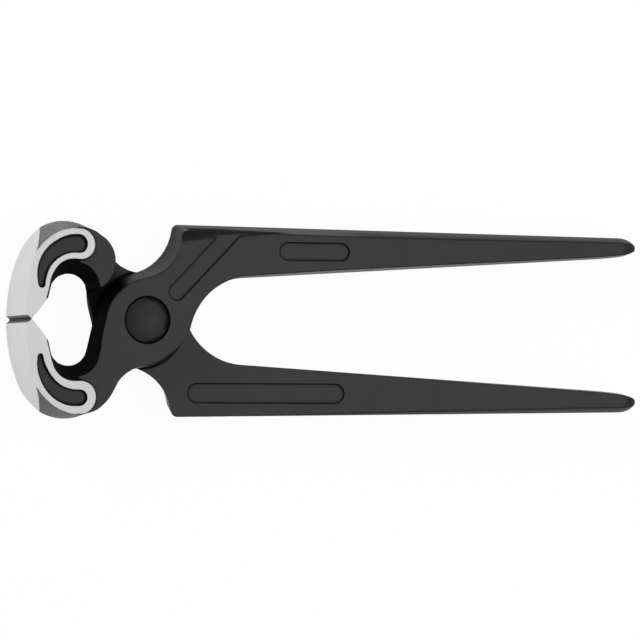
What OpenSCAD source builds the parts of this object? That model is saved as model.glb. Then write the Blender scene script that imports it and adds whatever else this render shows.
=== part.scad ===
// End cutting pincers: two crossed steel forgings on one rivet, lying flat with the jaws shut.
// X runs from the jaws' nose to the handle ends, and Z is the rivet's axis.
// The origin is under the middle of the tool, level with the lowest edge of the jaws.
// Both levers are one forging. It is drawn with its handle up (+Y), its jaw down (-Y), its lap
// above the parting plane Z = 0 and the rivet's axis at the origin.

/* [Overall] */
// Length from the jaws' nose to the handle ends
overall_length = 180; // [170:1:200]
// From the nose back to the rivet's axis
nose_to_pivot = 34.6; // [33.6:0.1:35.6]
// Radius of edges left by the forging die
edge_r = 0.45; // [0.3:0.05:0.8]

/* [Joint] */
// Radius of the round lap at the parting plane
lap_r = 12.85; // [12.7:0.05:13]
// Thickness of one lap
lap_t = 6.5; // [6:0.1:7]
// Gap between the two laps
lap_gap = 0.1; // [0.06:0.02:0.16]
// How far behind the rivet's axis the handle is milled flat for the other lap
lap_mill_x = 17; // [16:0.5:19]
// Radius that is milled free for the other lap, on the jaw side
lap_free_r = 18; // [17.5:0.1:18.5]
// Radius of the neck's round end beside the other lap
tab_r = 8.2; // [7.9:0.1:8.4]

/* [Rivet] */
// Diameter of the shank
shank_d = 9; // [8:0.1:10]
// Diameter of the two heads
head_d = 12.3; // [11.6:0.1:13]
// Depth of the seat that a head sinks into
seat_depth = 1.5; // [1.2:0.1:2]
// How far the crown of a head stands out of its lap
crown_h = 0.55; // [0.3:0.05:0.9]
// Running clearance of the back lever on the shank, on the radius
running_clearance = 0.05; // [0.03:0.01:0.08]
// Clearance of the front lever, which the rivet is set in
set_clearance = 0.02; // [0.01:0.01:0.03]
// Open ring between a head and the wall of its seat
seat_gap = 0.35; // [0.2:0.05:0.45]

/* [Handles] */
// Width over both handles at the shoulders
handle_span = 52; // [50.5:0.5:54]
// Width over both handles at their ends
tip_span = 48.5; // [44:0.5:52]
// Width of a handle at its shoulder, on the line of its straight edges
handle_root_w = 15.5; // [14.8:0.1:16.2]
// Width of a handle at its end
handle_tip_w = 5.2; // [4.4:0.1:6.5]
// Height of a handle's end above and below the parting plane
tip_half_t = 3.75; // [3.2:0.05:4.4]
// Height of a handle below the parting plane at its shoulder
root_back_t = 0.1; // [0.06:0.02:0.2]
// Length of the rounded end
tip_round = 4.8; // [3:0.1:6]
// How far the inner edge draws in at the end
tip_draw_w = 0.7; // [0.4:0.1:1.6]
// How far the middle of the rounded end lies off the middle of the handle, inwards
tip_shift_y = 0.7; // [0:0.1:0.9]
// Length over which the inner edge draws in
tip_draw_l = 12; // [8:1:16]
// How far the shoulder's upright wall lies behind the rivet's axis
shoulder_x = 9; // [8:0.1:10]
// Radius of the hollow shoulder that nests on the other jaw's back
shoulder_r = 14.1; // [13.6:0.1:14.6]
// Radius of the shoulder's outer corner
corner_r = 1.8; // [1.2:0.1:2.6]
// Radius of the crotch between the handles
crotch_r = 17.6; // [16.6:0.1:18.4]
// Where the face starts to fall towards the handle's end, behind the rivet's axis
slope_start = 30; // [28:1:34]

/* [Shoulder bevel] */
// Width of the flat bevel on the outer edge, at the corner
bevel_w = 3.2; // [2:0.1:3.8]
// Depth of the bevel at the corner
bevel_depth = 1.4; // [1:0.1:2.4]
// Length over which the bevel runs out
bevel_run = 32; // [26:1:40]

/* [Jaws] */
// Width of the cutting edges
jaw_width = 20; // [18:0.5:22]
// Radius of the round back of a jaw
jaw_back_r = 13.5; // [13.2:0.1:13.8]
// From the nose to the middle of the round back
jaw_back_x = 13.1; // [12.8:0.1:13.4]
// From the cutting edge down to the middle of the round back
jaw_back_y = 13; // [12.7:0.1:13.3]
// Radius between the round back and the lap
neck_r = 11; // [9:0.2:12]
// Radius of the hollow inside the jaw
hollow_r = 5.2; // [4.9:0.1:5.4]
// From the nose to the middle of the hollow
hollow_x = 14.3; // [14:0.1:14.6]
// From the cutting edge down to the middle of the hollow
hollow_y = 7.1; // [6.9:0.1:7.3]
// Radius of the ground nose
nose_r = 41; // [38:1:45]
// From the cutting edge down to the middle of the nose's radius
nose_y = 2.8; // [2:0.1:3.6]
// Depth of the outer bevel of the cutting edge
edge_bevel = 1; // [0.7:0.05:1.3]
// Angle of the inner bevel to the tool's length
inner_bevel_angle = 48; // [44:1:50]
// Lean of the ground side flats
flat_lean = 7.8; // [7:0.1:8.4]
// Gap between the shut cutting edges
edge_gap = 0.08; // [0.04:0.02:0.14]

/* [Ground rim] */
// Width of the rim round the recess
rim_w = 1.7; // [1.4:0.1:1.9]
// How much wider the rim is at the round end of the recess
rim_end = 0.4; // [0.2:0.1:0.6]
// Depth of the recess under the ground flat
recess_depth = 0.8; // [0.5:0.05:1]
// Outer radius of the recess
recess_outer_r = 11.2; // [11:0.05:11.4]
// Inner radius of the recess
recess_inner_r = 9.75; // [9.6:0.05:9.9]
// Inner radius of the recess on the lap's side
lap_recess_inner_r = 10.35; // [10.2:0.05:10.5]

/* [Panels] */
// Depth of the three bare panels
panel_depth = 0.4; // [0.2:0.05:0.6]
// Width of the slanted panel on the shoulder
slant_panel_w = 4.8; // [4:0.1:5.4]
// Length of the short panel on the lap's side
short_panel_l = 20.6; // [14:0.2:24]
// Width of the short panel
short_panel_w = 5; // [4:0.1:5.6]
// Length of the long panel on the back of the handle
long_panel_l = 45; // [36:0.5:48]
// Width of the long panel
long_panel_w = 5.5; // [4.4:0.1:6]

/* [Hidden] */
$fn = 96;
overrun = 1;
forging_colour = [0.17, 0.17, 0.18];
rivet_colour = [0.13, 0.13, 0.14];

// Places about the rivet's axis
half_width = jaw_width / 2;
pivot_place = [nose_to_pivot - overall_length / 2, 0, half_width];
tip_x = overall_length - nose_to_pivot;
jaw_c = [jaw_back_x - nose_to_pivot, -jaw_back_y];
hollow_c = [hollow_x - nose_to_pivot, -hollow_y];
nose_c = [nose_r - nose_to_pivot, -nose_y];
edge_x = edge_bevel - nose_to_pivot;
axis = [0, 0];

// Geometry helpers
function dir(a) = [cos(a), sin(a)];
function left_of(u) = [-u[1], u[0]];
function unit(v) = v / norm(v);
function angle_of(v) = atan2(v[1], v[0]);
function mix(a, b, f) = a + (b - a) * f;
function on_arc(c, r, a0, a1, f) = c + r * dir(mix(a0, a1, f));
// Where two circles cross, on the left of the line between their centres
function cross_left(c1, r1, c2, r2) =
    let (d = norm(c2 - c1), u = (c2 - c1) / d, a = (d * d + r1 * r1 - r2 * r2) / (2 * d))
    c1 + a * u + sqrt(r1 * r1 - a * a) * left_of(u);
// Where a line through p along u leaves a circle
function leave_circle(p, u, c, r) =
    let (along = (c - p) * u, off = (c - p) * left_of(u))
    p + (along + sqrt(r * r - off * off)) * u;

// Straight edges of the handle
outer_root = [shoulder_x, handle_span / 2];
outer_tip = [tip_x, tip_span / 2];
inner_root = [shoulder_x, handle_span / 2 - handle_root_w];
inner_tip = [tip_x, tip_span / 2 - handle_tip_w];
outer_u = unit(outer_tip - outer_root);
inner_u = unit(inner_tip - inner_root);
function drawn_in(x) = tip_draw_w * pow(max(0, 1 - (tip_x - x) / tip_draw_l), 2);
function outer_at(x) = outer_root + (x - shoulder_x) / outer_u[0] * outer_u;
function inner_at(x) = inner_root + (x - shoulder_x) / inner_u[0] * inner_u + [0, drawn_in(x)];

// Arcs of the outline, each tangent to its neighbours
shoulder_c_x = shoulder_x - shoulder_r;
shoulder_c = [shoulder_c_x, sqrt(pow(lap_r + shoulder_r, 2) - pow(shoulder_c_x, 2))];
corner_c = leave_circle(outer_root - corner_r * left_of(outer_u), outer_u,
                        shoulder_c, shoulder_r + corner_r);
crotch_c = leave_circle(inner_root - crotch_r * left_of(inner_u), inner_u, axis, lap_r + crotch_r);
neck_c = cross_left(axis, lap_r + neck_r, jaw_c, jaw_back_r + neck_r);
throat_a = angle_of(hollow_c) + 360 - acos((lap_r + hollow_r) / norm(hollow_c));
corner_start = corner_c + corner_r * left_of(outer_u);
crotch_start = crotch_c + crotch_r * left_of(inner_u);

// The forging's two outlines run side by side through these stretches, from handle end to nose
TIP = 0;
HANDLE = 1;
TOP = 2;
CORNER = 3;
SHOULDER = 4;
LAP = 5;
NECK = 6;
JAW = 7;
NOSE = 8;
steps = [7, 14, 5, 5, 9, 9, 6, 32, 6];
// Angles at which the outlines change stretch
corner_a0 = angle_of(left_of(outer_u));
corner_a1 = angle_of(shoulder_c - corner_c);
shoulder_a0 = angle_of(corner_c - shoulder_c);
shoulder_a1 = angle_of(-shoulder_c);
crotch_a0 = angle_of(left_of(inner_u));
crotch_a3 = 180 + angle_of(crotch_c);
crotch_top_share = 0.4;
crotch_corner_share = 0.58;
crotch_a1 = mix(crotch_a0, crotch_a3, crotch_top_share);
crotch_a2 = mix(crotch_a0, crotch_a3, crotch_corner_share);
neck_lap_a = angle_of(neck_c);
neck_jaw_a = angle_of(neck_c - jaw_c);
jaw_end_a = -160;
tip_start_a = 10;
nose_u = [sin(jaw_end_a), -cos(jaw_end_a)];
// Both outlines run this far past the shut cutting edges, which are ground off later
past_edge = 2.5;
function past(p) = p + (past_edge - p[1]) / nose_u[1] * nose_u;

// One side of the rounded handle end
function tip_point(f, side) =
    let (a = mix(tip_start_a, 90, f), x = tip_x - tip_round * (1 - cos(mix(0, 90, f))))
    let (o = outer_at(x), i = inner_at(x))
    (o + i) / 2 + side * (o - i) / 2 * sin(a) - [0, tip_shift_y * (1 - sin(a))];

// Outline from the handle's outer edge to the inside of the jaw
function outer_rail(z, f) =
    z == TIP ? tip_point(f, 1) :
    z == HANDLE ? outer_at(mix(tip_x - tip_round, slope_start, f * f)) :
    z == TOP ? mix(outer_at(slope_start), corner_start, f) :
    z == CORNER ? on_arc(corner_c, corner_r, corner_a0, corner_a1, f) :
    z == SHOULDER ? on_arc(shoulder_c, shoulder_r, shoulder_a0, shoulder_a1, f) :
    z == LAP ? on_arc(axis, lap_r, shoulder_a1 + 180, throat_a, f) :
    z == NECK ? mix(lap_r * dir(throat_a), hollow_c - hollow_r * dir(throat_a), f) :
    z == JAW ? on_arc(hollow_c, hollow_r, throat_a - 180, jaw_end_a, f) :
    mix(hollow_c + hollow_r * dir(jaw_end_a), past(hollow_c + hollow_r * dir(jaw_end_a)), f);

// Outline from the handle's inner edge to the back of the jaw
function inner_rail(z, f) =
    z == TIP ? tip_point(f, -1) :
    z == HANDLE ? inner_at(mix(tip_x - tip_round, crotch_start[0], f * f)) :
    z == TOP ? on_arc(crotch_c, crotch_r, crotch_a0, crotch_a1, f) :
    z == CORNER ? on_arc(crotch_c, crotch_r, crotch_a1, crotch_a2, f) :
    z == SHOULDER ? on_arc(crotch_c, crotch_r, crotch_a2, crotch_a3, f) :
    z == LAP ? on_arc(axis, lap_r, crotch_a3 - 180, neck_lap_a, f) :
    z == NECK ? on_arc(neck_c, neck_r, neck_lap_a + 180, neck_jaw_a + 180, f) :
    z == JAW ? on_arc(jaw_c, jaw_back_r, neck_jaw_a, jaw_end_a, f) :
    mix(jaw_c + jaw_back_r * dir(jaw_end_a), past(jaw_c + jaw_back_r * dir(jaw_end_a)), f);

// Die draft of the walls, as run-in per height, along the stretches
outer_draft_shares = [[TIP, 0.38], [HANDLE + 0.8, 0.38], [TOP, 0.3], [CORNER, 0.38], [SHOULDER + 0.4, 0.37],
                      [LAP, 0.31], [LAP + 0.3, 0.33], [NECK, 0.27], [JAW, 0.26], [JAW + 0.5, 0.5],
                      [JAW + 0.64, 0.57], [JAW + 0.78, 0.5], [JAW + 0.9, 0.36], [NOSE, 0.27], [NOSE + 1, 0.2]];
inner_draft_shares = [[TIP, 0.15], [HANDLE + 0.9, 0.12], [TOP, 0.06], [LAP, 0.07], [LAP + 0.2, 0.19],
                      [LAP + 0.6, 0.265], [LAP + 0.9, 0.16], [NECK, 0.12], [JAW, 0.02], [JAW + 0.22, 0.03],
                      [JAW + 0.33, 0.1], [JAW + 0.43, 0.13], [JAW + 0.57, 0.18], [JAW + 0.7, 0.27],
                      [JAW + 0.92, 0.3], [NOSE + 1, 0.24]];
back_draft_shares = [[TIP, 0.15], [HANDLE + 0.9, 0.12], [TOP, 0.06], [NECK, 0.1], [JAW, 0.05],
                     [JAW + 0.15, 0.07], [JAW + 0.27, 0.15], [JAW + 0.42, 0.24], [JAW + 0.5, 0.25],
                     [JAW + 0.6, 0.28], [JAW + 0.7, 0.3], [NOSE, 0.28], [NOSE + 1, 0.22]];
tip_height_share = 0.15;

// Heights of the two faces over and under a point of the outline
mill_run = 8;
mill_fall = 0.5;
back_start = lap_mill_x + mill_run / 2;
front_slope = (lap_t - tip_half_t) / (tip_x - slope_start);
back_slope = (tip_half_t - root_back_t) / (tip_x - back_start);
raised_t = half_width + overrun;
function tip_height(z, f) = z == TIP ? mix(tip_height_share, 1, sin(mix(0, 90, f))) : 1;
function front_t(z, f, x) =
    z >= JAW ? raised_t :
    tip_height(z, f) * (lap_t - front_slope * max(0, x - slope_start));
function back_t(z, f, x) =
    z >= NECK ? raised_t :
    tip_height(z, f) * (root_back_t + back_slope * max(0, x - back_start));

// A rounded edge in a section: its corner, the way down the wall, the way along the face
bend_shares = [0, 0.35, 0.65, 1];
function bend(k, wall, face, r) =
    [for (t = bend_shares) k + r * (pow(1 - t, 2) * wall + t * t * face)];
function turned(points) = [for (i = [len(points) - 1 : -1 : 0]) points[i]];

// Closed section across the two outlines, as distance across and height
edge_limit_share = 0.3;
function section(w, f1, f2, b1, b2, k1, k2, kb) =
    let (fr = min(edge_r, edge_limit_share * (w - k1 * f1 - k2 * f2), edge_limit_share * f1))
    let (br = min(edge_r, edge_limit_share * (w - k1 * b1 - kb * b2), edge_limit_share * b1))
    let (wall1 = unit([-k1, -1]), wall2 = unit([k2, -1]))
    let (front_face = unit([w - k1 * f1 - k2 * f2, f2 - f1]))
    let (back_face = unit([w - k1 * b1 - kb * b2, b1 - b2]))
    concat([[0, 0]],
           bend([k1 * f1, f1], wall1, front_face, fr),
           turned(bend([w - k2 * f2, f2], wall2, -front_face, fr)),
           [[w, 0]],
           bend([w - kb * b2, -b2], unit([kb, 1]), -back_face, br),
           turned(bend([k1 * b1, -b1], unit([-k1, 1]), back_face, br)));

// The forging as one skin over its sections
stations = [for (z = [TIP : NOSE]) for (i = [0 : steps[z] - (z == NOSE ? 0 : 1)]) [z, i / steps[z]]];
function ring(z, f) =
    let (p = outer_rail(z, f), q = inner_rail(z, f), across = unit(q - p))
    let (k1 = lookup(z + f, outer_draft_shares))
    let (k2 = lookup(z + f, inner_draft_shares), kb = lookup(z + f, back_draft_shares))
    [for (s = section(norm(q - p), front_t(z, f, p[0]), front_t(z, f, q[0]),
                      back_t(z, f, p[0]), back_t(z, f, q[0]), k1, k2, kb))
        [p[0] + across[0] * s[0], p[1] + across[1] * s[0], s[1]]];

module skin(rings) {
    n = len(rings[0]);
    last = len(rings) - 1;
    sides = [for (i = [0 : last - 1]) for (j = [0 : n - 1])
        let (a = i * n + j, b = i * n + (j + 1) % n)
        each [[a, b + n, a + n], [a, b, b + n]]];
    ends = [[for (j = [n - 1 : -1 : 0]) j], [for (j = [0 : n - 1]) last * n + j]];
    polyhedron(points = [for (r = rings) each r], faces = concat(sides, ends));
}

module forging() {
    skin([for (s = stations) ring(s[0], s[1])]);
}

// What is milled off the back so that the other lap can turn there
tab_x = 16.7;
tab_y = 15.8;
tab_c = [-tab_x, -tab_y];
lap_notch_step = 0.25;
lap_notch_draft_share = 0.08;
module lap_relief() {
    depth = raised_t + overrun;
    translate([0, handle_span, lap_gap / 2]) rotate([90, 0, 0]) linear_extrude(2 * handle_span)
        polygon([[0, 0], [lap_mill_x, 0], [lap_mill_x + mill_run, -mill_fall],
                 [lap_mill_x + mill_run, -depth], [0, -depth]]);
    translate([0, 0, lap_gap / 2 - depth]) difference() {
        union() {
            cylinder(r = lap_free_r, h = depth);
            translate([-tab_x, -2 * lap_r, 0]) cube([tab_x, 2 * lap_r, depth]);
        }
        intersection() {
            notch_side(jaw_c, jaw_back_r - lap_notch_step, depth);
            translate([jaw_c[0], -tab_y - 2 * jaw_back_r, -2 * overrun])
                cube([2 * jaw_back_r, 2 * jaw_back_r, depth + 4 * overrun]);
        }
        notch_side(tab_c, tab_r, depth);
    }
}

// Round side of the milled space, drafted away from the parting plane
module notch_side(c, r, depth) {
    translate([c[0], c[1], -overrun])
        cylinder(r1 = r - lap_notch_draft_share * (depth + overrun),
                 r2 = r + lap_notch_draft_share * overrun,
                 h = depth + 2 * overrun);
}

// Bore for the shank and the seat of the rivet's head
module pivot_bore(clearance) {
    translate([0, 0, -overrun]) cylinder(r = shank_d / 2 + clearance, h = lap_t + 2 * overrun);
    translate([0, 0, lap_t - seat_depth]) cylinder(r = head_d / 2 + seat_gap, h = seat_depth + overrun);
}

// Outline that is ground away round the nose and the cutting edge
module nose_grinding() {
    inner_run = hollow_c[0] - hollow_r / 2 - edge_x;
    outer_run = 2 * nose_to_pivot;
    apex_y = -edge_gap / 2;
    top_y = 2 * past_edge;
    difference() {
        translate([-outer_run, -outer_run]) square([outer_run - hollow_x, outer_run + top_y]);
        translate(nose_c) circle(r = nose_r);
    }
    polygon([[edge_x, apex_y],
             [edge_x + inner_run, apex_y - inner_run * tan(inner_bevel_angle)],
             [edge_x + inner_run, top_y],
             [edge_x - outer_run, top_y],
             [edge_x - outer_run, apex_y - outer_run]]);
}

// Recess in the ground flat, a crescent with round ends
recess_outer_dx = 1.1;
recess_outer_dy = 1.6;
recess_inner_dx = 0.5;
recess_inner_dy = 0.9;
recess_end_dx = 1.9;
recess_end_dy = 3.7;
lap_recess_end_dy = 2.9;
recess_outer_c = jaw_c + [recess_outer_dx, recess_outer_dy];
recess_inner_c = hollow_c + [recess_inner_dx, -recess_inner_dy];
recess_end_x = jaw_c[0] + recess_end_dx;
function below(c, r, x) = c[1] - sqrt(r * r - pow(x - c[0], 2));
function before(c, r, y) = c[0] - sqrt(r * r - pow(y - c[1], 2));
fat_low = below(recess_outer_c, recess_outer_r, recess_end_x);
function fat_high(inner_r) = below(recess_inner_c, inner_r, recess_end_x);
function fat_c(inner_r) = [recess_end_x, (fat_low + fat_high(inner_r)) / 2];
function fat_r(inner_r) = (fat_high(inner_r) - fat_low) / 2;
module crescent(inner_r, end_y) {
    thin_left = before(recess_outer_c, recess_outer_r, end_y);
    thin_right = before(recess_inner_c, inner_r, end_y);
    intersection() {
        difference() {
            translate(recess_outer_c) circle(r = recess_outer_r);
            translate(recess_inner_c) circle(r = inner_r);
        }
        translate([recess_end_x, end_y] - nose_to_pivot * [1, 1]) square(nose_to_pivot);
    }
    translate(fat_c(inner_r)) circle(r = fat_r(inner_r));
    translate([(thin_left + thin_right) / 2, end_y]) circle(d = thin_right - thin_left);
}

// Ground flat of one side: everything above it, the recess in it, and the neck beside its round end
neck_step = 0.05;
module flat_grinding(inner_r, end_y) {
    box = 2 * nose_to_pivot;
    translate([0, 0, half_width]) rotate([flat_lean, 0, 0]) {
        translate([-box, -box, 0]) cube([box, 2 * box, box]);
        translate([0, 0, -recess_depth]) linear_extrude(recess_depth + overrun) crescent(inner_r, end_y);
    }
    translate([0, 0, lap_t + neck_step]) linear_extrude(half_width) difference() {
        translate([recess_end_x, -nose_to_pivot]) square([-recess_end_x, nose_to_pivot]);
        translate(fat_c(inner_r) + [rim_end, 0]) circle(r = fat_r(inner_r) + rim_w);
    }
}

// Flat bevel that runs out along the outer edge of the handle
module shoulder_bevel() {
    start = [shoulder_x, handle_span / 2 - bevel_w - lookup(TOP, outer_draft_shares) * (lap_t - bevel_depth)];
    finish = outer_at(shoulder_x + bevel_run) - lookup(TOP, outer_draft_shares) * [0, lap_t];
    translate([start[0], start[1], lap_t])
        rotate([0, 0, angle_of(finish - start)])
            rotate([-atan(bevel_depth / bevel_w), 0, 0])
                translate([-bevel_run, -bevel_w, 0])
                    cube([3 * bevel_run, 2 * bevel_run, bevel_run]);
}

// Round-ended panel along X from the middle of its first end
module panel(l, w) {
    square_l = l - w;
    translate([0, -w / 2]) square([square_l, w]);
    circle(d = w);
    translate([square_l, 0]) circle(d = w);
}

// Bare panels sunk into the faces of the handle
slant_panel_x = 8.3;
slant_panel_y = 7.6;
slant_panel_angle = 45.7;
short_panel_x = 40.2;
short_panel_y = 19;
long_panel_x = 16.3;
long_panel_y = 19.5;
module panels() {
    slant_l = (handle_span / 2 - slant_panel_y) / sin(slant_panel_angle) + slant_panel_w;
    translate([slant_panel_x, slant_panel_y, lap_t - panel_depth])
        rotate([0, 0, slant_panel_angle])
            linear_extrude(panel_depth + overrun) panel(slant_l, slant_panel_w);
    short_t = lap_t - front_slope * (short_panel_x - slope_start);
    translate([short_panel_x, short_panel_y, short_t - panel_depth])
        rotate([0, atan(front_slope), 0])
            linear_extrude(panel_depth + overrun) panel(short_panel_l, short_panel_w);
    long_t = root_back_t + back_slope * (long_panel_x - back_start);
    translate([long_panel_x, long_panel_y, panel_depth - long_t])
        rotate([0, atan(back_slope), 0])
            mirror([0, 0, 1]) linear_extrude(panel_depth + overrun) panel(long_panel_l, long_panel_w);
}

module lever(clearance) {
    difference() {
        forging();
        lap_relief();
        pivot_bore(clearance);
        translate([0, 0, -raised_t - overrun]) linear_extrude(2 * (raised_t + overrun)) nose_grinding();
        flat_grinding(lap_recess_inner_r, jaw_c[1] + lap_recess_end_dy);
        mirror([0, 0, 1]) flat_grinding(recess_inner_r, jaw_c[1] + recess_end_dy);
        shoulder_bevel();
        panels();
    }
}

module front_lever() {
    color(forging_colour) translate(pivot_place) lever(set_clearance);
}

module back_lever() {
    color(forging_colour) translate(pivot_place) rotate([180, 0, 0]) lever(running_clearance);
}

// Rivet with a low crowned head at each end
crown_edge_share = 0.7;
module rivet_head(under) {
    edge_z = lap_t - crown_edge_share * crown_h;
    top_z = lap_t + crown_h;
    rise = top_z - edge_z;
    crown_r = (pow(head_d / 2, 2) + rise * rise) / (2 * rise);
    intersection() {
        translate([0, 0, under]) cylinder(d = head_d, h = top_z - under + overrun);
        translate([0, 0, top_z - crown_r]) sphere(r = crown_r, $fn = 180);
    }
}

module pivot_rivet() {
    front_under = lap_t - seat_depth + set_clearance;
    back_under = lap_t - seat_depth + running_clearance;
    in_head = seat_depth / 2;
    color(rivet_colour) translate(pivot_place) {
        translate([0, 0, -back_under - in_head])
            cylinder(d = shank_d, h = front_under + back_under + 2 * in_head);
        rivet_head(front_under);
        mirror([0, 0, 1]) rivet_head(back_under);
    }
}

front_lever();
back_lever();
pivot_rivet();
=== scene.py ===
import math
from types import SimpleNamespace

import bmesh
import bpy
from mathutils import Matrix, Vector


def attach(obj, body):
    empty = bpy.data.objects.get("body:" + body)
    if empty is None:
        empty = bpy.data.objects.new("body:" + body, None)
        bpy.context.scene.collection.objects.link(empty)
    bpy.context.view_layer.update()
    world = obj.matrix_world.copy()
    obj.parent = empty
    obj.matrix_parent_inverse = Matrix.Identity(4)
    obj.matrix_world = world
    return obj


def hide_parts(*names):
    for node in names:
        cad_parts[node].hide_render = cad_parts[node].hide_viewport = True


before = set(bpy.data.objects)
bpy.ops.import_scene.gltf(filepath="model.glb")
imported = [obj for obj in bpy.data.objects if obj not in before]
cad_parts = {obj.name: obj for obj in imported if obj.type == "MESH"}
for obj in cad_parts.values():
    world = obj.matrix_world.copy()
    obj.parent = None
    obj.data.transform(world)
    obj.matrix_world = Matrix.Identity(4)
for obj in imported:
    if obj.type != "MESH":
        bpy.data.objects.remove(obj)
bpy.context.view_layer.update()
scene = bpy.context.scene
scene.view_settings.view_transform = "Standard"

MM = 0.001
PIVOT = Vector((-55.4, 0.0, 10.0))
WELD = 2e-6
SLIVER = 1e-6
SHARP = math.radians(27)

# The photograph's camera: angles in degrees, the place it looks at in millimetres, the rest in metres and pixels
CAMERA_TILT = 20.63
CAMERA_ASIDE = 1.33
CAMERA_ROLL = 0.09
CAMERA_AIM = Vector((-3.57, 0.63, 10.0))
CAMERA_AWAY = 1.4
CAMERA_FAR = 20.0
SENSOR_WIDTH = 36.0
FOCAL_PIXELS = 5130
PICTURE_PIXELS = 640

# Lamps: name, place, aim, size along and across, power
LAMPS = [
    ("key", (0.316, 0.0, 0.85), (0, 0, 0), 0.9, 0.6, 5.4),
    ("side", (-0.6, 0.4, 0.4), (-0.03, 0, 0.01), 0.4, 0.4, 2.6),
]
WORLD_LIGHT = 0.3
FLOOR_SIZE = 6.0
FLOOR_Z = -0.0002
FLOOR_TONES = (0.80, 0.82)
FLOOR_GLOW = 0.96

# Tones of the finishes, as grey values, some of them painted shade or painted highlight, and how strongly the black
# ones shine
OXIDE_TONE, OXIDE_SHEEN = 0.020, 0.13
BEVEL_SHADE_TONE, BEVEL_SHADE_SHEEN = 0.009, 0.09
WALL_SHEEN = 0.55
SHADE_BLACK = 0.002
WORN_EDGE = 0.07
SHOULDER_HIGHLIGHT = 0.055
SCALE_AND_SHADE_TONES = (0.0015, 0.004)
NOSE_TONES = (0.695, 0.775)
FLAT_TONES = (0.485, 0.555)
EDGE_SHADE_TONES = (0.13, 0.19)
JAW_BLACK_TONES = (0.014, 0.022)
JAW_STEEL_TONES = (0.12, 0.26)
RIVET_TONES = (0.006, 0.011)
STEEL_METALLIC = 0.6

# Places on a lever, in millimetres about the rivet's axis, with the handle up and the lap on top
AXIS = Vector((0.0, 0.0))
NOSE_C = Vector((6.4, -2.8))
NOSE_R = 41.0
NOSE_TO_X = -20.0
JAW_C = Vector((-21.5, -13.0))
JAW_R = 13.5
JAW_WALL = 4.6
JAW_TO_X = -9.0
HALF_WIDTH = 10.0
LEAN = math.radians(7.8)
LEAN_UP = Vector((0, -math.sin(LEAN), math.cos(LEAN)))
RECESS_DEPTH = 0.8
LAP_T = 6.5
NECK_STEP = 0.05
BORE_R = 7.0

# The cutting edge, as forged and as drawn shut, and how far its bevels reach
EDGE_Y = -0.04
EDGE_SEEN_Y = -0.004
EDGE_TO_X = -30.0
EDGE_BEVEL_TO_X = -25.0
EDGE_BEVEL_FROM_Y = -9.0

# The handle's outlines: where they start, their length, and the outer and inner ones' height and slope along it
HANDLE_X = 9.0
HANDLE_L = 136.4
OUTER_Y, OUTER_FALL = 26.0, 1.75
INNER_Y, INNER_RISE = 10.5, 8.55
THROAT_TO_X, THROAT_Y = 30.0, 3.0
OUTER_MARGIN, INNER_MARGIN = 2.4, 1.2

# Spans over which the black finish changes on a lever, along X, along Y, up from the lap plane or from the axis;
# all but the jaw back's carry painted shade or painted highlight
THROAT_X = (-7.5, -3.5)
MILLED_Z = (0.2, 0.4)
LAP_SHADE_R = (12.9, 13.5)
LAP_SHADE_X = (-10.5, -7.5)
SHADED_X = (-1.0, 3.0)
WALL_Z = (0.5, 5.5)
WALL_SHADE_X = (54.0, 66.0)
WALL_SHADE_Y = (20.0, 21.0)
WALL_SHADE_EVEN = 0.26
WEDGE_FROM_X = (11.5, 12.5)
WEDGE_TO_X = (38.0, 42.0)
WEDGE_Y = (22.0, 23.0)
WEDGE_RISE_X = (20.0, 34.0)
WEDGE_Z = (2.6, 4.3)
SHOULDER_FROM_X = (-1.0, 2.0)
SHOULDER_TO_X = (15.0, 17.0)
SHOULDER_Y = (10.0, 12.0)
JAW_BACK_X = (-25.0, -13.0)

# The recesses in the flats: the middle of the inner edge, the outer edge, and the reach of floor and far edge
RECESS_C = Vector((-19.8, -8.0))
RECESS_OUTER_C = Vector((-20.4, -11.4))
RECESS_OUTER_R = 11.2
RECESS_FAR_R = 14.57
RECESS_FLOOR_R = (9.6, 14.8)
ASIDE_X = (-22.0, 4.0)

# What is trued on the flats: their reach, the band outside the recess, and the rim inside it by angle
FLAT_X = (-35.0, -16.5)
FLAT_TO_Y = -5.0
BAND_R = 14.0
BAND_TO_Y = -18.5
RIM_ANGLES = (160, 275)
RIM_START = 8
RIM_THIN_ANGLE = 178
RIM_R, RIM_THIN_R = 9.6, 10.8
CLOSE = 0.04
CORNER_CLOSE = 0.1

# The lap-side rim's round end and the nose line's corner, as the photograph shows them
RIM_END_X = -19.65
SEEN_RIM_C = Vector((-19.2, -20.9))
SEEN_RIM_R = 4.47
SEEN_RIM_END = -25.15
SEEN_CORNER = Vector((-31.65, -18.25))

# The neck beside the hollow: its reach, how gently it starts and ends, and the lean that it gains
NECK_X = (-20.0, -10.0)
NECK_Y = (-17.5, -3.0)
NECK_EASE_X = (2.0, 4.0)
NECK_EASE_Y = (1.5, 6.0)
NECK_LEAN = 0.13

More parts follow.
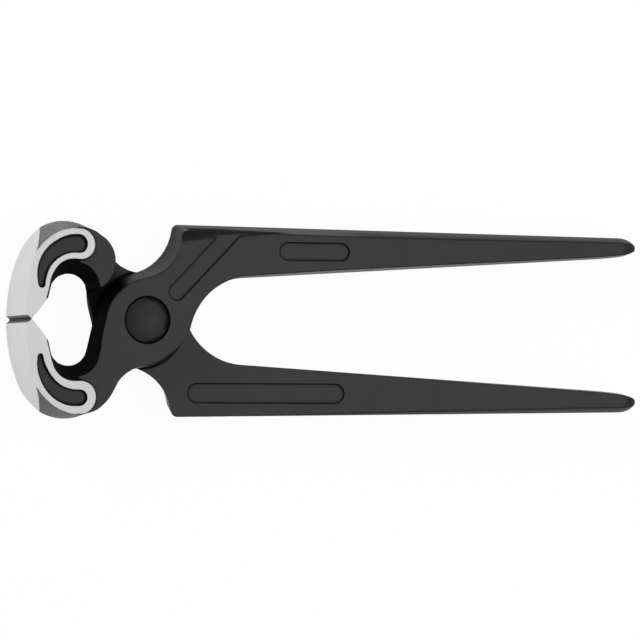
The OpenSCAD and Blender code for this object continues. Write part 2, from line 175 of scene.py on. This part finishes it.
# The two flats of a jaw. Forged: the rim's round end, the recess's end and inner edge, the corner on the nose line.
# Moves of the recess's edges: size, first angle and length. Rim and band: angle and radius about RECESS_C.
LAP_SIDE = SimpleNamespace(
    rim_c=Vector((-19.2, -20.46)), rim_r=3.81,
    end_c=Vector((-19.6, -20.46)), end_r=2.11, inner_r=10.35,
    corner=Vector((-31.345, -18.986)),
    grow_inner=(0.58, 210, 42), inner_ends=(360, 1), grow_outer=(0.78, 215, 50), aside=0.25,
    rim=[(160, 10.4), (169, 9.4), (178, 8.7), (190, 8.3), (205, 8.35), (225, 8.8), (240, 8.92), (255, 8.85),
         (268, 8.62)],
    band=[(220, 15.2), (225, 15.6), (231, 15.9), (236, 16.1), (245, 16.6), (255, 17.1), (265, 17.5), (271, 17.6)])
BACK_SIDE = SimpleNamespace(
    rim_c=Vector((-19.2, -20.16)), rim_r=4.11,
    end_c=Vector((-19.6, -20.16)), end_r=2.41, inner_r=9.75,
    corner=Vector((-31.19, -19.355)),
    grow_inner=(0.36, 190, 40), inner_ends=(250, 35), grow_outer=(0.4, 238, 35), aside=0.0,
    rim=[(160, 10.5), (169, 9.5), (178, 8.8), (187, 8.5), (215, 8.56), (235, 8.74), (250, 8.65), (270, 8.25)],
    band=[(218, 15.0), (224, 15.5), (230, 15.75), (236, 15.9), (245, 16.28), (255, 16.52), (265, 16.58),
          (271, 16.48)])

# Middle of the rivet head's lit part, and the span out from it over which painted shade darkens the head's rim
RIVET_LIT_C = Vector((-0.45, -0.1))
RIVET_SHADE_R = (5.2, 6.1)


# Camera, at the photograph's angle
def add_camera():
    theta, phi = math.radians(CAMERA_TILT), math.radians(CAMERA_ASIDE)
    back = Vector((-math.sin(theta) * math.cos(phi), -math.sin(phi), math.cos(theta) * math.cos(phi)))
    right = Vector((0, 1, 0)).cross(back).normalized()
    right.rotate(Matrix.Rotation(math.radians(CAMERA_ROLL), 3, back))
    up = back.cross(right)
    data = bpy.data.cameras.new("camera")
    data.sensor_width = SENSOR_WIDTH
    data.lens = FOCAL_PIXELS * SENSOR_WIDTH / PICTURE_PIXELS
    data.clip_end = CAMERA_FAR
    camera = bpy.data.objects.new("camera", data)
    scene.collection.objects.link(camera)
    turn = Matrix((right, up, back)).transposed().to_4x4()
    camera.matrix_world = Matrix.Translation(CAMERA_AIM * MM + CAMERA_AWAY * back) @ turn
    scene.camera = camera


# Node helpers
class Nodes:
    def __init__(self, name):
        self.material = bpy.data.materials.new(name)
        self.material.use_nodes = True
        self.tree = self.material.node_tree
        self.tree.nodes.clear()
        self.out = self.add("ShaderNodeOutputMaterial")
        self.coords = self.add("ShaderNodeTexCoord").outputs["Object"]

    def add(self, kind, **settings):
        node = self.tree.nodes.new(kind)
        for key, value in settings.items():
            setattr(node, key, value)
        return node

    def link(self, source, target):
        self.tree.links.new(source, target)

    def noise(self, scale, detail=3.0, rough=0.5, stretch=None):
        node = self.add("ShaderNodeTexNoise")
        node.inputs["Scale"].default_value = scale
        node.inputs["Detail"].default_value = detail
        node.inputs["Roughness"].default_value = rough
        source = self.coords
        if stretch:
            mapping = self.add("ShaderNodeMapping")
            mapping.inputs["Scale"].default_value = stretch
            self.link(source, mapping.inputs["Vector"])
            source = mapping.outputs["Vector"]
        self.link(source, node.inputs["Vector"])
        return node.outputs["Fac"]

    def span(self, value, low, high, to_low, to_high, smooth=False):
        node = self.add("ShaderNodeMapRange")
        node.interpolation_type = "SMOOTHSTEP" if smooth else "LINEAR"
        node.inputs["From Min"].default_value = low
        node.inputs["From Max"].default_value = high
        node.inputs["To Min"].default_value = to_low
        node.inputs["To Max"].default_value = to_high
        self.link(value, node.inputs["Value"])
        return node.outputs["Result"]

    def maths(self, how, a, b):
        node = self.add("ShaderNodeMath", operation=how)
        for socket, value in zip(node.inputs, (a, b)):
            if isinstance(value, (int, float)):
                socket.default_value = value
            else:
                self.link(value, socket)
        return node.outputs[0]

    def product(self, first, *others):
        for other in others:
            first = self.maths("MULTIPLY", first, other)
        return first

    def size(self, value):
        return self.maths("ABSOLUTE", value, 0.0)

    # Distance from a centre, in plan
    def reach(self, x, y, centre):
        across = self.maths("SUBTRACT", x, centre.x)
        along = self.maths("SUBTRACT", y, centre.y)
        square = self.maths("ADD", self.product(across, across), self.product(along, along))
        return self.maths("SQRT", square, 0.0)

    def mix(self, factor, a, b):
        node = self.add("ShaderNodeMix", data_type="RGBA")
        self.link(factor, node.inputs["Factor"])
        for socket, value in ((node.inputs[6], a), (node.inputs[7], b)):
            if isinstance(value, tuple):
                socket.default_value = value + (1.0,)
            else:
                self.link(value, socket)
        return node.outputs[2]

    # Grain between two grey tones
    def grained(self, grain, low, high):
        return self.mix(self.span(grain, 0.3, 0.7, 0.0, 1.0), grey(low), grey(high))

    def bump(self, height, strength, distance, normal=None):
        node = self.add("ShaderNodeBump")
        node.inputs["Strength"].default_value = strength
        node.inputs["Distance"].default_value = distance
        self.link(height, node.inputs["Height"])
        if normal:
            self.link(normal, node.inputs["Normal"])
        return node.outputs["Normal"]

    # Place on a lever in millimetres about the rivet's axis
    def place(self, side):
        moved = self.add("ShaderNodeVectorMath", operation="SUBTRACT")
        self.link(self.coords, moved.inputs[0])
        moved.inputs[1].default_value = PIVOT * MM
        scaled = self.add("ShaderNodeVectorMath", operation="MULTIPLY")
        self.link(moved.outputs[0], scaled.inputs[0])
        scaled.inputs[1].default_value = Vector((1, side, side)) / MM
        parts = self.add("ShaderNodeSeparateXYZ")
        self.link(scaled.outputs[0], parts.inputs[0])
        return parts.outputs

    # One where a face stands upright, nought where it lies flat
    def upright(self):
        geometry = self.add("ShaderNodeNewGeometry")
        parts = self.add("ShaderNodeSeparateXYZ")
        self.link(geometry.outputs["True Normal"], parts.inputs[0])
        return self.span(self.size(parts.outputs["Z"]), 0.55, 0.8, 1.0, 0.0)

    # Nought in a tight corner, one on an open face, from ambient occlusion; used to paint shade
    def open_share(self, distance, low, high):
        node = self.add("ShaderNodeAmbientOcclusion", samples=12)
        node.inputs["Distance"].default_value = distance
        return self.span(node.outputs["AO"], low, high, 0.0, 1.0)

    # Softened normal of small edges, and how much an edge stands out
    def edges(self, radius):
        soft = self.add("ShaderNodeBevel", samples=6)
        soft.inputs["Radius"].default_value = radius
        flat = self.add("ShaderNodeNewGeometry")
        dot = self.add("ShaderNodeVectorMath", operation="DOT_PRODUCT")
        self.link(soft.outputs["Normal"], dot.inputs[0])
        self.link(flat.outputs["Normal"], dot.inputs[1])
        return soft.outputs["Normal"], self.span(dot.outputs["Value"], 0.995, 0.86, 0.0, 1.0)

    def shader(self, colour, roughness, normal, metallic=0.0, specular=0.5):
        node = self.add("ShaderNodeBsdfPrincipled")
        self.link(colour, node.inputs["Base Color"])
        self.link(roughness, node.inputs["Roughness"])
        self.link(normal, node.inputs["Normal"])
        node.inputs["Metallic"].default_value = metallic
        if isinstance(specular, float):
            node.inputs["Specular IOR Level"].default_value = specular
        else:
            self.link(specular, node.inputs["Specular IOR Level"])
        self.link(node.outputs["BSDF"], self.out.inputs["Surface"])
        return self.material


def grey(value):
    return (value, value, value)


# Painted shade, making a lever near black: on the walls by the throat, and on the milled lap face in a ring about
# the axis, on its left side, and where it is occluded
def throat_and_lap_shade(n, x, y, deep, upright):
    by_throat = n.product(upright, n.span(x, *THROAT_X, 1.0, 0.0, True))
    milled = n.span(deep, *MILLED_Z, 1.0, 0.0)
    # Painted shade in a ring about the axis and on the lap face's left side
    ring_shade = n.maths("MAXIMUM", n.span(n.reach(x, y, AXIS), *LAP_SHADE_R, 1.0, 0.0, True),
                     n.span(x, *LAP_SHADE_X, 1.0, 0.0, True))
    shaded = n.product(n.span(x, *SHADED_X, 1.0, 0.0, True), n.open_share(5.0 * MM, 0.9, 0.45))
    return n.maths("MAXIMUM", by_throat, n.product(milled, n.maths("MAXIMUM", ring_shade, shaded)))


# Painted shade and sheen up the handle's outer wall, lighter and glossier low down and darker towards the face's
# edge, and an even value everywhere else
def outer_wall_shade(n, x, y, deep, upright):
    outer = n.product(n.span(x, *WALL_SHADE_X, 0.0, 1.0, True), n.span(y, *WALL_SHADE_Y, 0.0, 1.0))
    wall_shade = n.maths("SUBTRACT", n.span(deep, *WALL_Z, 0.0, 1.0), WALL_SHADE_EVEN)
    return n.maths("ADD", n.product(outer, upright, wall_shade), WALL_SHADE_EVEN)


# Painted shade of the shoulder's bevel, carried on to the wall beside it
def bevel_wedge_shade(n, x, y, deep, upright):
    lift = n.maths("SUBTRACT", deep, n.span(x, *WEDGE_RISE_X, *WEDGE_Z))
    return n.product(n.span(x, *WEDGE_FROM_X, 0.0, 1.0), n.span(y, *WEDGE_Y, 0.0, 1.0), upright,
                     n.span(x, *WEDGE_TO_X, 1.0, 0.0), n.span(lift, -0.4, 0.5, 0.0, 0.94))


# Painted highlight on the hollow wall of the shoulder, stronger towards the face's edge
def shoulder_highlight(n, x, y, deep, upright):
    shoulder = n.product(n.span(x, *SHOULDER_FROM_X, 0.0, 1.0, True), n.span(x, *SHOULDER_TO_X, 1.0, 0.0),
                         upright, n.span(y, *SHOULDER_Y, 0.0, 1.0))
    return n.product(shoulder, n.span(deep, *WALL_Z, 0.35, 1.0))


# Black finish of the forged faces, with painted shade in corners, by the throat, on the lap face, up the outer wall
# and beside the shoulder's bevel, and a painted highlight on the shoulder's wall
def black_oxide_and_shade(name, side, depth, sheen):
    n = Nodes(name)
    grain = n.noise(3200, 4.0, 0.6)
    cloud = n.noise(140, 3.0)
    soft, edge = n.edges(0.3 * MM)
    x, y, z = n.place(side)
    upright = n.upright()
    where = (n, x, y, n.size(z), upright)
    tone = n.grained(grain, 0.8 * depth, 1.2 * depth)
    tone = n.mix(n.span(cloud, 0.35, 0.7, 0.0, 0.5), tone, grey(1.25 * depth))
    tone = n.mix(n.product(edge, n.span(n.noise(900, 3.0), 0.4, 0.65, 0.05, 0.4)), tone, grey(WORN_EDGE))
    # Painted highlight on the shoulder's wall
    tone = n.mix(shoulder_highlight(*where), tone, grey(SHOULDER_HIGHLIGHT))
    wall_shade = outer_wall_shade(*where)
    # Share left unshaded: painted shade from occlusion in corners, by the throat and on the lap, up the outer wall
    # and beside the bevel, towards a near black
    clear = n.product(n.open_share(1.0 * MM, 0.66, 0.95),
                      n.span(throat_and_lap_shade(*where), 0.0, 1.0, 1.0, 0.06),
                      n.maths("SUBTRACT", 1.18, n.product(0.7, wall_shade)),
                      n.maths("SUBTRACT", 1.0, bevel_wedge_shade(*where)))
    colour = n.mix(clear, grey(SHADE_BLACK), tone)
    roughness = n.span(grain, 0.25, 0.75, 0.32, 0.44)
    normal = n.bump(grain, 0.2, 0.06 * MM, soft)
    # Sheen cut by the same painted shade, with a painted sheen low on the outer wall
    specular = n.product(clear, n.span(upright, 0.0, 1.0, sheen, WALL_SHEEN * sheen),
                         n.maths("SUBTRACT", 1.25, n.product(0.95, wall_shade)))
    return n.shader(colour, roughness, normal, specular=specular)


# Matt scale in the hollows and on the walls that no tool has touched, near black: partly the scale's own colour,
# partly painted shade
def scale_and_shade_black():
    n = Nodes("scale_and_shade_black")
    grain = n.noise(2600, 4.0, 0.65)
    soft, edge = n.edges(0.2 * MM)
    colour = n.mix(n.product(edge, 0.2), n.grained(grain, *SCALE_AND_SHADE_TONES), grey(0.015))
    roughness = n.span(grain, 0.3, 0.7, 0.72, 0.9)
    return n.shader(colour, roughness, n.bump(grain, 0.3, 0.08 * MM, soft), specular=0.03)


# Bright ground steel, with fine grinding lines
def ground_steel(n, lines, low, high):
    brush = n.noise(1.0, 4.0, 0.6, lines)
    cloud = n.noise(220, 2.0)
    colour = n.mix(n.span(cloud, 0.4, 0.7, 0.0, 0.25), n.grained(brush, low, high), grey(high))
    return brush, colour, n.span(brush, 0.3, 0.7, 0.5, 0.62)


# The nose, ground round, with lines along it
def nose_steel():
    n = Nodes("nose_steel")
    brush, colour, roughness = ground_steel(n, (300, 300, 3000), *NOSE_TONES)
    soft, _ = n.edges(0.12 * MM)
    return n.shader(colour, roughness, n.bump(brush, 0.05, 0.02 * MM, soft), STEEL_METALLIC)


# The side flats, with the black finish left along their edges but not along the nose
def flat_steel(name, side):
    n = Nodes(name)
    brush, colour, roughness = ground_steel(n, (5200, 700, 700), *FLAT_TONES)
    _, edge = n.edges(0.28 * MM)
    x, y, _ = n.place(side)
    inside = n.span(n.reach(x, y, NOSE_C), NOSE_R - 0.6, NOSE_R - 1.4, 0.0, 0.75)
    colour = n.mix(n.product(inside, edge), colour, grey(0.03))
    return n.shader(colour, roughness, n.bump(brush, 0.05, 0.02 * MM), STEEL_METALLIC)


# The bevels of the cutting edge, with painted shade: a darker tone than the flats, deepening towards the edge
# itself
def shaded_edge_steel(name, side):
    n = Nodes(name)
    brush, colour, roughness = ground_steel(n, (700, 700, 5200), *EDGE_SHADE_TONES)
    _, y, _ = n.place(side)
    # Painted shade deepening towards the edge where the jaws meet
    colour = n.mix(n.span(y, -0.15, -0.8, 0.0, 1.0, True), grey(0.012), colour)
    return n.shader(colour, roughness, n.bump(brush, 0.05, 0.02 * MM), STEEL_METALLIC)


# Back of the jaw: coarse grinding that fades into the black finish
def jaw_back(name, side):
    n = Nodes(name)
    grain = n.noise(2600, 4.0, 0.7)
    speck = n.noise(1900, 2.0, 0.5)
    soft, _ = n.edges(0.3 * MM)
    x, _, _ = n.place(side)
    ground = n.product(n.span(x, *JAW_BACK_X, 1.0, 0.0, True), n.span(grain, 0.25, 0.6, 0.55, 1.0))
    steel = n.mix(n.span(speck, 0.35, 0.65, 0.0, 1.0), *map(grey, JAW_STEEL_TONES))
    colour = n.mix(ground, n.grained(grain, *JAW_BLACK_TONES), steel)
    roughness = n.span(grain, 0.25, 0.75, 0.5, 0.66)
    return n.shader(colour, roughness, n.bump(speck, 0.3, 0.08 * MM, soft), specular=0.3)


# Rivet, a little darker than the forging, with painted shade on the rim of its head and in the corner around it
def rivet_black_and_shade():
    n = Nodes("rivet_black_and_shade")
    grain = n.noise(2800, 4.0, 0.6)
    cloud = n.noise(330, 2.0)
    soft, _ = n.edges(0.4 * MM)
    tone = n.mix(n.span(cloud, 0.4, 0.7, 0.0, 0.6), n.grained(grain, *RIVET_TONES), grey(0.014))
    x, y, _ = n.place(1)
    reach = n.maths("ADD", n.reach(x, y, RIVET_LIT_C), n.span(n.noise(260, 1.0), 0.3, 0.7, -0.5, 0.5))
    # Painted shade: occlusion in the corner, and the head's rim darker away from the middle
    clear = n.product(n.open_share(1.2 * MM, 0.5, 0.97), n.span(reach, *RIVET_SHADE_R, 1.0, 0.3, True))
    colour = n.mix(clear, grey(SHADE_BLACK), tone)
    roughness = n.span(cloud, 0.3, 0.7, 0.40, 0.54)
    normal = n.bump(grain, 0.2, 0.06 * MM, n.bump(cloud, 0.5, 0.3 * MM, soft))
    return n.shader(colour, roughness, normal, specular=n.product(clear, 0.2))


SCALE_AND_SHADE = scale_and_shade_black()
NOSE_STEEL = nose_steel()


# A lever's own directions and places, from the scene's and back
def turned(v, side):
    return Vector((v.x, side * v.y, side * v.z))


def to_lever(co, side):
    return turned(co / MM - PIVOT, side)


def from_lever(p, side):
    return (turned(p, side) + PIVOT) * MM


# Height over the leaning flat of a point whose Z is counted outwards
def over_flat(p):
    return (p - Vector((0, 0, HALF_WIDTH))).dot(LEAN_UP)


# Whether an upright face lies inside the handle's outline, as the walls of the panels do
def is_panel(c):
    share = (c.x - HANDLE_X) / HANDLE_L
    outer = OUTER_Y - OUTER_FALL * share
    inner = INNER_Y + INNER_RISE * share if c.x >= THROAT_TO_X else THROAT_Y
    return inner + INNER_MARGIN < c.y < outer - OUTER_MARGIN and abs(c.z) > 0.02


# Which finish a face of a lever has, from where it lies and the way it faces
def finish_of(c, n):
    lean = Vector((n.x, n.y, n.z if c.z > 0 else -n.z)).dot(LEAN_UP)
    height = over_flat(Vector((c.x, c.y, abs(c.z))))
    at = Vector((c.x, c.y))
    from_jaw = at - JAW_C
    on_jaw = c.x < JAW_TO_X
    wall = abs(n.z) < 0.05
    if on_jaw and lean > 0.999 and abs(height) < 0.06:
        return "flat_steel"
    if wall and abs((at - NOSE_C).length - NOSE_R) < 0.12 and c.x < NOSE_TO_X:
        return "nose_steel"
    if wall and c.x < EDGE_BEVEL_TO_X and c.y > EDGE_BEVEL_FROM_Y and n.y > 0.5:
        return "shaded_edge_steel" if n.x < 0 else "nose_steel"
    if at.length < BORE_R and abs(c.z) < LAP_T - 0.2:
        return "scale_and_shade_black"
    # The shoulder's bevel facet gets a darker copy of the black finish, as painted shade
    if c.x > 5 and c.z > 3 and 0.85 < n.z < 0.96 and n.y > 0.3:
        return "bevel_shade_black"
    if abs(n.z) > 0.75:
        return "black_oxide_and_shade"
    if c.x > 3 and abs(n.z) < 0.045 and at.length > BORE_R + 1 and is_panel(c):
        return "scale_and_shade_black"
    if c.x < JAW_TO_X + 1 and -0.95 < height < 0 and abs(lean) < 0.05:
        return "scale_and_shade_black"
    if on_jaw and Vector((n.x, n.y)).dot(from_jaw) > 0 and from_jaw.length > JAW_R - JAW_WALL and c.y < -4:
        return "jaw_back"
    if on_jaw and c.y < 2:
        return "scale_and_shade_black"
    return "black_oxide_and_shade"


def clamp(value):
    return min(max(value, 0.0), 1.0)


# A smooth rise from nought to one
def ramp(value, start, length):
    share = clamp((value - start) / length)
    return share * share * (3 - 2 * share)


def near(at, centre, radius):
    return abs((at - centre).length - radius) < CLOSE


# Radius in a table at an angle
def looked_up(table, angle):
    for (a0, r0), (a1, r1) in zip(table, table[1:]):
        if angle < a1:
            return r0 + (r1 - r0) * max(0.0, (angle - a0) / (a1 - a0))
    return table[-1][1]


# Where a point of the recess in a flat goes
def trued_recess(at, flat, angle):
    out = at - RECESS_C
    size, *span = flat.grow_inner
    inner = size * ramp(angle, *span) * (1 - ramp(angle, *flat.inner_ends))
    size, *span = flat.grow_outer
    outer = size * ramp(angle, *span)
    share = clamp((out.length - flat.inner_r) / (RECESS_FAR_R - flat.inner_r))
    moved = out.length + inner + (outer - inner) * share
    return RECESS_C + out * moved / out.length + Vector((flat.aside * ramp(at.x, *ASIDE_X), 0))


# Where a point of the ground rim and of the band outside it goes
def trued_rim(at, flat, angle):
    out = at - RECESS_C
    radius = moved = out.length
    first, last = RIM_ANGLES
    if (at - flat.corner).length < CORNER_CLOSE:
        return at + SEEN_CORNER - flat.corner
    if radius > BAND_R and at.y < BAND_TO_Y:
        moved = min(radius, looked_up(flat.band, angle))
    elif first < angle < last and radius < (RIM_R if angle > RIM_THIN_ANGLE else RIM_THIN_R):
        moved = radius + (looked_up(flat.rim, angle) - radius) * ramp(angle, first, RIM_START)
    return RECESS_C + out * moved / radius


# Where a point of the lap-side rim's round end goes
def trued_end(p, flat, on_flat):
    plan = SEEN_RIM_C + (Vector((p.x, p.y)) - flat.rim_c) * SEEN_RIM_R / flat.rim_r
    plan.y = max(plan.y, SEEN_RIM_END)
    height = HALF_WIDTH + plan.y * math.sin(LEAN) / math.cos(LEAN) if on_flat else p.z
    return Vector((plan.x, plan.y, height))


# Where a point of the neck beside the hollow goes
def trued_neck(p):
    share = ramp(p.x, NECK_X[0], NECK_EASE_X[0]) * min(1.0, (NECK_X[1] - p.x) / NECK_EASE_X[1])
    share *= ramp(p.y, NECK_Y[0], NECK_EASE_Y[0])
    if p.z > 0:
        share *= 1 - ramp(p.y, NECK_Y[1] - NECK_EASE_Y[1], NECK_EASE_Y[1])
    return p + Vector((NECK_LEAN * abs(p.z) * share, 0, 0))


# Where a point of the jaw's rims, recess and neck goes, so that they follow the photograph more closely
def trued(p):
    lap = p.z > 0
    flat = LAP_SIDE if lap else BACK_SIDE
    height = abs(p.z)
    cos, sin = math.cos(LEAN), math.sin(LEAN)
    at = Vector((p.x, p.y * cos + (height - HALF_WIDTH) * sin))
    above = (height - HALF_WIDTH) * cos - p.y * sin
    on_flat = abs(above) < CLOSE
    reach = (at - RECESS_C).length
    on_floor = abs(above + RECESS_DEPTH) < CLOSE and RECESS_FLOOR_R[0] < reach < RECESS_FLOOR_R[1]
    if p.x > RIM_END_X and height > LAP_T - 0.1 and near(Vector((p.x, p.y)), flat.rim_c, flat.rim_r):
        return trued_end(p, flat, on_flat) if lap else p
    if (on_flat or on_floor) and FLAT_X[0] < p.x < FLAT_X[1] and at.y < FLAT_TO_Y:
        angle = math.degrees(math.atan2(at.y - RECESS_C.y, at.x - RECESS_C.x)) % 360
        in_recess = (on_floor or near(at, RECESS_OUTER_C, RECESS_OUTER_R) or near(at, flat.end_c, flat.end_r)
                     or near(at, RECESS_C, flat.inner_r))
        at = trued_recess(at, flat, angle) if in_recess else trued_rim(at, flat, angle)
        return Vector((at.x, at.y * cos - above * sin,
                       math.copysign(HALF_WIDTH + at.y * sin + above * cos, p.z)))
    if height < LAP_T + 0.1 and NECK_X[0] < p.x < NECK_X[1] and NECK_Y[0] < p.y < NECK_Y[1]:
        return trued_neck(p)
    return p


# Fills a plane stretch of faces afresh where moving its rim has turned one of them over
def refill(bm, faces):
    normal = faces[0].normal.copy()
    index = faces[0].material_index
    for face in faces:
        face.normal_update()
    if all(face.normal.dot(normal) > 0.9 for face in faces):
        return
    chosen = set(faces)
    edges = {e for f in faces for e in f.edges}
    rim = [e for e in edges if sum(f in chosen for f in e.link_faces) == 1]
    bmesh.ops.delete(bm, geom=faces, context="FACES")
    filled = bmesh.ops.triangle_fill(bm, use_beauty=True, use_dissolve=False, edges=rim, normal=normal)
    for face in filled["geom"]:
        if isinstance(face, bmesh.types.BMFace):
            face.material_index = index
            face.smooth = True
            face.normal_update()
            if face.normal.dot(normal) < 0:
                face.normal_flip()


# The plane stretches of a jaw that share a rim with what is trued
def plane_stretches(bm, side):
    stretches = {}
    for face in bm.faces:
        c = to_lever(face.calc_center_median(), side)
        n = turned(face.normal, side)
        lap = c.z > 0
        if not lap:
            c.z, n.z = -c.z, -n.z
        above = over_flat(c)
        on_flat, on_floor = abs(above) < CLOSE, abs(above + RECESS_DEPTH) < CLOSE
        if c.x < JAW_TO_X and n.dot(LEAN_UP) > 0.999 and (on_flat or on_floor):
            stretches.setdefault((lap, on_flat), []).append(face)
        elif NECK_X[0] < c.x < JAW_TO_X + 1 and c.y < 0 and n.z > 0.9999 and abs(c.z - LAP_T) < 0.01:
            stretches.setdefault((lap, "neck"), []).append(face)
    return list(stretches.values())


# A node's copy, with nothing on it yet, and its mesh welded for work
def copied(node, name):
    piece = bpy.data.objects.new(name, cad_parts[node].data.copy())
    scene.collection.objects.link(piece)
    piece.data.materials.clear()
    bm = bmesh.new()
    bm.from_mesh(piece.data)
    bmesh.ops.remove_doubles(bm, verts=bm.verts, dist=WELD)
    return piece, bm


# Soft shading between sharp edges
def soften(bm):
    for face in bm.faces:
        face.smooth = True
    for edge in bm.edges:
        edge.smooth = len(edge.link_faces) == 2 and edge.calc_face_angle() < SHARP


def written_back(bm, piece):
    bm.to_mesh(piece.data)
    bm.free()
    weighted = piece.modifiers.new("weighted_normals", "WEIGHTED_NORMAL")
    weighted.keep_sharp = True


# A lever: the forging's own shape, trued, with a finish on each face
def dress_lever(node, body, side):
    piece, bm = copied(node, node + "_forging")
    finishes = {
        "black_oxide_and_shade": black_oxide_and_shade(body + "_black_oxide_and_shade", side, OXIDE_TONE, OXIDE_SHEEN),
        "bevel_shade_black": black_oxide_and_shade(body + "_bevel_shade_black", side, BEVEL_SHADE_TONE, BEVEL_SHADE_SHEEN),
        "scale_and_shade_black": SCALE_AND_SHADE,
        "nose_steel": NOSE_STEEL,
        "flat_steel": flat_steel(body + "_flat_steel", side),
        "shaded_edge_steel": shaded_edge_steel(body + "_shaded_edge_steel", side),
        "jaw_back": jaw_back(body + "_jaw_back", side),
    }
    names = list(finishes)
    for name in names:
        piece.data.materials.append(finishes[name])
    for vert in bm.verts:
        height = vert.co.z / MM - PIVOT.z
        if abs(abs(height) - LAP_T - NECK_STEP) < 0.004:
            vert.co.z = (PIVOT.z + math.copysign(LAP_T, height)) * MM
        if abs(side * vert.co.y / MM - EDGE_Y) < 0.002 and vert.co.x / MM - PIVOT.x < EDGE_TO_X:
            vert.co.y = side * EDGE_SEEN_Y * MM
    bmesh.ops.dissolve_degenerate(bm, edges=bm.edges, dist=SLIVER)
    bm.normal_update()
    for face in bm.faces:
        finish = finish_of(to_lever(face.calc_center_median(), side), turned(face.normal, side))
        face.material_index = names.index(finish)
    soften(bm)
    stretches = plane_stretches(bm, side)
    for vert in bm.verts:
        vert.co = from_lever(trued(to_lever(vert.co, side)), side)
    for faces in stretches:
        refill(bm, faces)
    bm.normal_update()
    written_back(bm, piece)
    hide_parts(node)
    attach(piece, body)


def dress_rivet():
    piece, bm = copied("pivot_rivet", "pivot_rivet_crowned")
    piece.data.materials.append(rivet_black_and_shade())
    bm.normal_update()
    for face in bm.faces:
        face.material_index = 0
    soften(bm)
    written_back(bm, piece)
    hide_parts("pivot_rivet")
    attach(piece, "front")


# White floor that shows white to the camera and keeps a faint shadow
def add_floor():
    bpy.ops.mesh.primitive_plane_add(size=FLOOR_SIZE, location=(0, 0, FLOOR_Z))
    floor = bpy.context.object
    floor.name = "floor"
    n = Nodes("floor_white")
    diffuse = n.add("ShaderNodeBsdfDiffuse")
    n.link(n.mix(n.noise(30, 2.0), *map(grey, FLOOR_TONES)), diffuse.inputs["Color"])
    glow = n.add("ShaderNodeEmission")
    glow.inputs["Strength"].default_value = 1.0
    path = n.add("ShaderNodeLightPath")
    seen = n.maths("MAXIMUM", path.outputs["Is Camera Ray"], path.outputs["Is Glossy Ray"])
    seen = n.maths("MAXIMUM", seen, path.outputs["Is Transmission Ray"])
    both = n.add("ShaderNodeMixShader")
    n.link(n.product(seen, FLOOR_GLOW), both.inputs[0])
    n.link(diffuse.outputs[0], both.inputs[1])
    n.link(glow.outputs[0], both.inputs[2])
    n.link(both.outputs[0], n.out.inputs["Surface"])
    floor.data.materials.append(n.material)


def add_light(name, place, aim, size, size_y, power):
    data = bpy.data.lights.new(name, "AREA")
    data.shape = "RECTANGLE"
    data.size = size
    data.size_y = size_y
    data.energy = power
    light = bpy.data.objects.new(name, data)
    light.location = place
    light.rotation_euler = (Vector(aim) - Vector(place)).to_track_quat("-Z", "Y").to_euler()
    scene.collection.objects.link(light)


def add_world():
    world = bpy.data.worlds.new("studio")
    world.use_nodes = True
    background = world.node_tree.nodes["Background"]
    background.inputs["Color"].default_value = (1, 1, 1, 1)
    background.inputs["Strength"].default_value = WORLD_LIGHT
    scene.world = world


add_camera()
dress_lever("front_lever", "front", 1)
dress_lever("back_lever", "back", -1)
dress_rivet()
add_floor()
add_world()
for lamp in LAMPS:
    add_light(*lamp)

bpy.context.view_layer.update()
